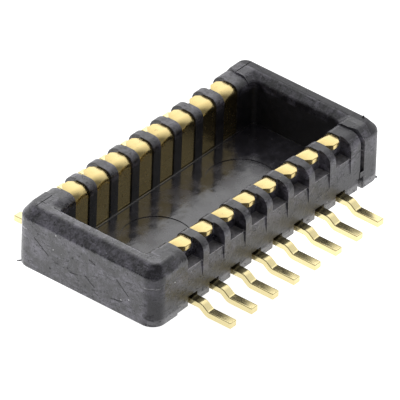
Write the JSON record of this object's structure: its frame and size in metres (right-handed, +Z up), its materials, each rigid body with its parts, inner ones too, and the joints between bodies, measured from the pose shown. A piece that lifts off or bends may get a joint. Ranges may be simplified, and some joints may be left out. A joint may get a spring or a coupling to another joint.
{
  "type": "board to board connector",
  "caption": "Low surface mount header for stacking two circuit boards: a dark moulded frame round an open pocket, with two rows of gold plated contacts.",
  "frame": {"origin": "on the circuit board, under the middle of the part, at the height of the contacts' feet", "axes": "+X along the rows of contacts, +Y across them towards the rear row, +Z up from the board"},
  "size_m": [0.0054, 0.0042, 0.0011],
  "materials": {
    "housing": "satin black moulded liquid crystal polymer, glossier in the pocket",
    "contact": "bright gold plating over a stamped copper alloy strip"
  },
  "bodies": {
    "root": {"housing": "housing", "contact_front_1": "contact", "contact_front_2": "contact", "contact_front_3": "contact", "contact_front_4": "contact", "contact_front_5": "contact", "contact_front_6": "contact", "contact_front_7": "contact", "contact_front_8": "contact", "contact_rear_1": "contact", "contact_rear_2": "contact", "contact_rear_3": "contact", "contact_rear_4": "contact", "contact_rear_5": "contact", "contact_rear_6": "contact", "contact_rear_7": "contact", "contact_rear_8": "contact"}
  },
  "joints": []
}
